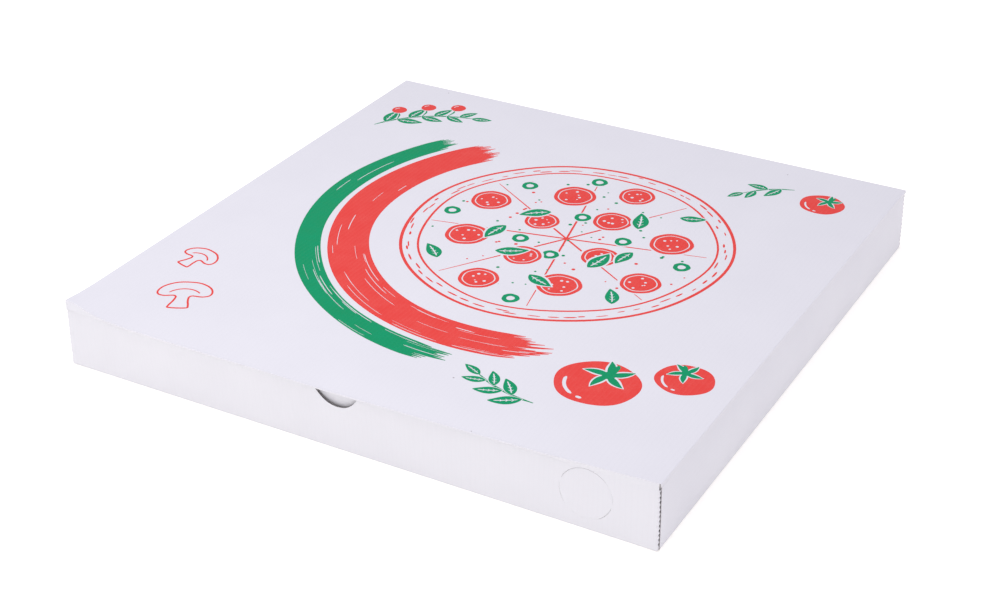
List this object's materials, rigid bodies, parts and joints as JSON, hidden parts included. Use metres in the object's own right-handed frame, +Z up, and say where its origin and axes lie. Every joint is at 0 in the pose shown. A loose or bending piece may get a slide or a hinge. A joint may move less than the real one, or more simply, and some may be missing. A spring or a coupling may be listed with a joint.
{
  "type": "pizza box",
  "caption": "Flat square carton folded from corrugated board, with roll-over side walls, a thumb notch, a knock-out vent and a hinged lid that tucks behind the front wall.",
  "frame": {"origin": "middle of the footprint, on the surface that the box lies on", "axes": "+Z up; the front wall with the thumb notch faces -Y; the lid's crease runs along X at the back"},
  "size_m": [0.33, 0.33, 0.0365],
  "materials": {
    "tray_board": "white coated outer liner, pale grey recycled inside",
    "lid_board": "white coated outer liner with a red and green print"
  },
  "bodies": {
    "tray": {"tray": "tray_board"},
    "lid": {"lid": "lid_board"}
  },
  "joints": [
    {"name": "lid_hinge", "type": "hinge", "parent": "tray", "child": "lid", "pos_m": [0, 0.165, 0.0365], "axis": [-1, 0, 0], "range_deg": [0, 180]}
  ]
}
